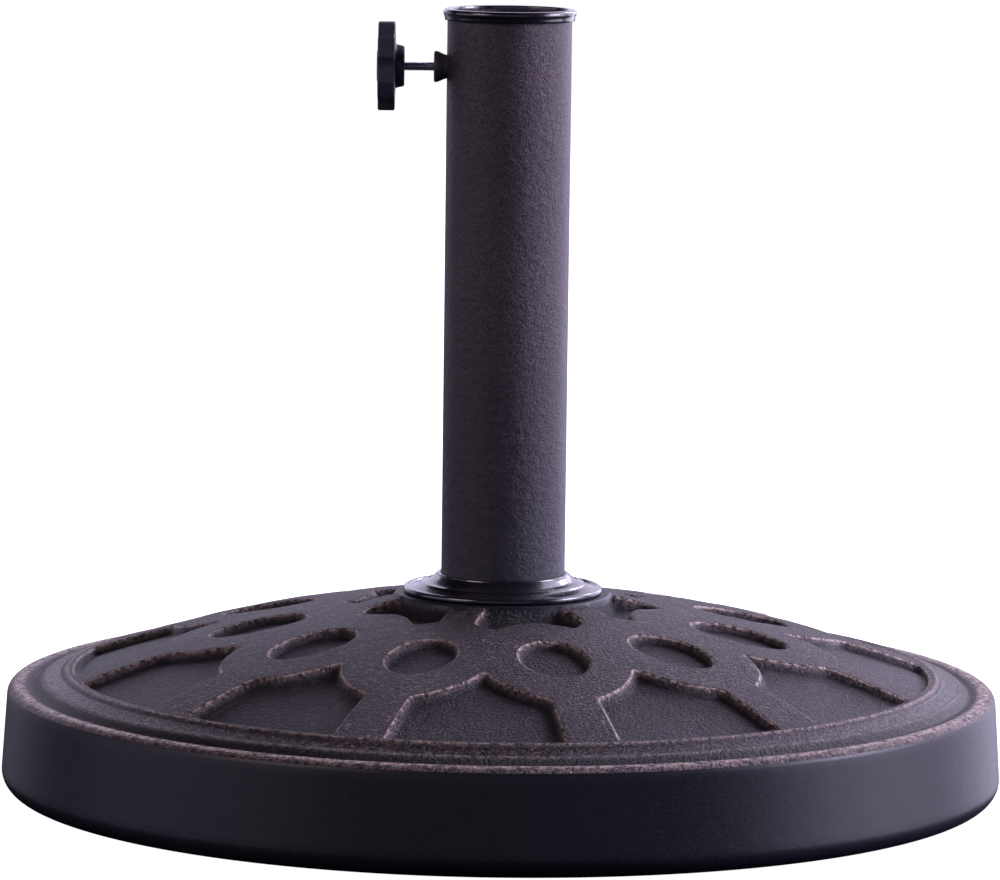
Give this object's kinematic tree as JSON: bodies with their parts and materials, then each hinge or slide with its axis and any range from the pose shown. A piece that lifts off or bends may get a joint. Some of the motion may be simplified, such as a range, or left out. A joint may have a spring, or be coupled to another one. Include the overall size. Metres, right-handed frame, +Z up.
{
  "type": "parasol base",
  "caption": "Round domed parasol base with a raised ring pattern, a central pole tube and a side clamp knob.",
  "frame": {"origin": "on the ground under the middle of the base", "axes": "+Z up along the pole, -X towards the clamp knob"},
  "size_m": [0.4444, 0.4444, 0.3496],
  "materials": {
    "cast_body": "antique bronze paint over cast stone, satin",
    "tube_paint": "hammered antique bronze, satin",
    "gloss_black": "gloss",
    "boss_black": "satin black",
    "knob_black": "matte",
    "screw_steel": "bright",
    "zinc_steel": "zinc plated",
    "foot_rubber": "matte",
    "nylon": "natural"
  },
  "bodies": {
    "base": {"base_casting": "cast_body", "foot_1": "foot_rubber", "foot_2": "foot_rubber", "foot_3": "foot_rubber", "foot_4": "foot_rubber", "foot_5": "foot_rubber", "foot_6": "foot_rubber", "pole_tube": "tube_paint", "end_plate": "zinc_steel", "plate_nut": "zinc_steel", "anchor_bolt": "zinc_steel", "spreader_washer": "zinc_steel", "spring_washer": "zinc_steel", "top_cap": "gloss_black", "clamp_boss": "boss_black"},
    "collar": {"collar": "gloss_black"},
    "tip": {"clamp_tip": "nylon"},
    "knob": {"knob": "knob_black", "knob_cap": "knob_black", "clamp_screw": "screw_steel"}
  },
  "joints": [
    {"name": "collar_slide", "type": "slide", "parent": "base", "child": "collar", "axis": [0, 0, 1], "range_m": [0, 0.21]},
    {"name": "screw_travel", "type": "slide", "parent": "base", "child": "tip", "axis": [1, 0, 0], "range_m": [-0.0021, 0.0105]},
    {"name": "knob_turn", "type": "hinge", "parent": "tip", "child": "knob", "pos_m": [-0.0462, 0, 0.3238], "axis": [1, 0, 0], "range_deg": [-1080, 5400]}
  ],
  "couplings": [
    {"joint": "screw_travel", "follows": "knob_turn", "m_per_rad": 0.00011141}
  ]
}
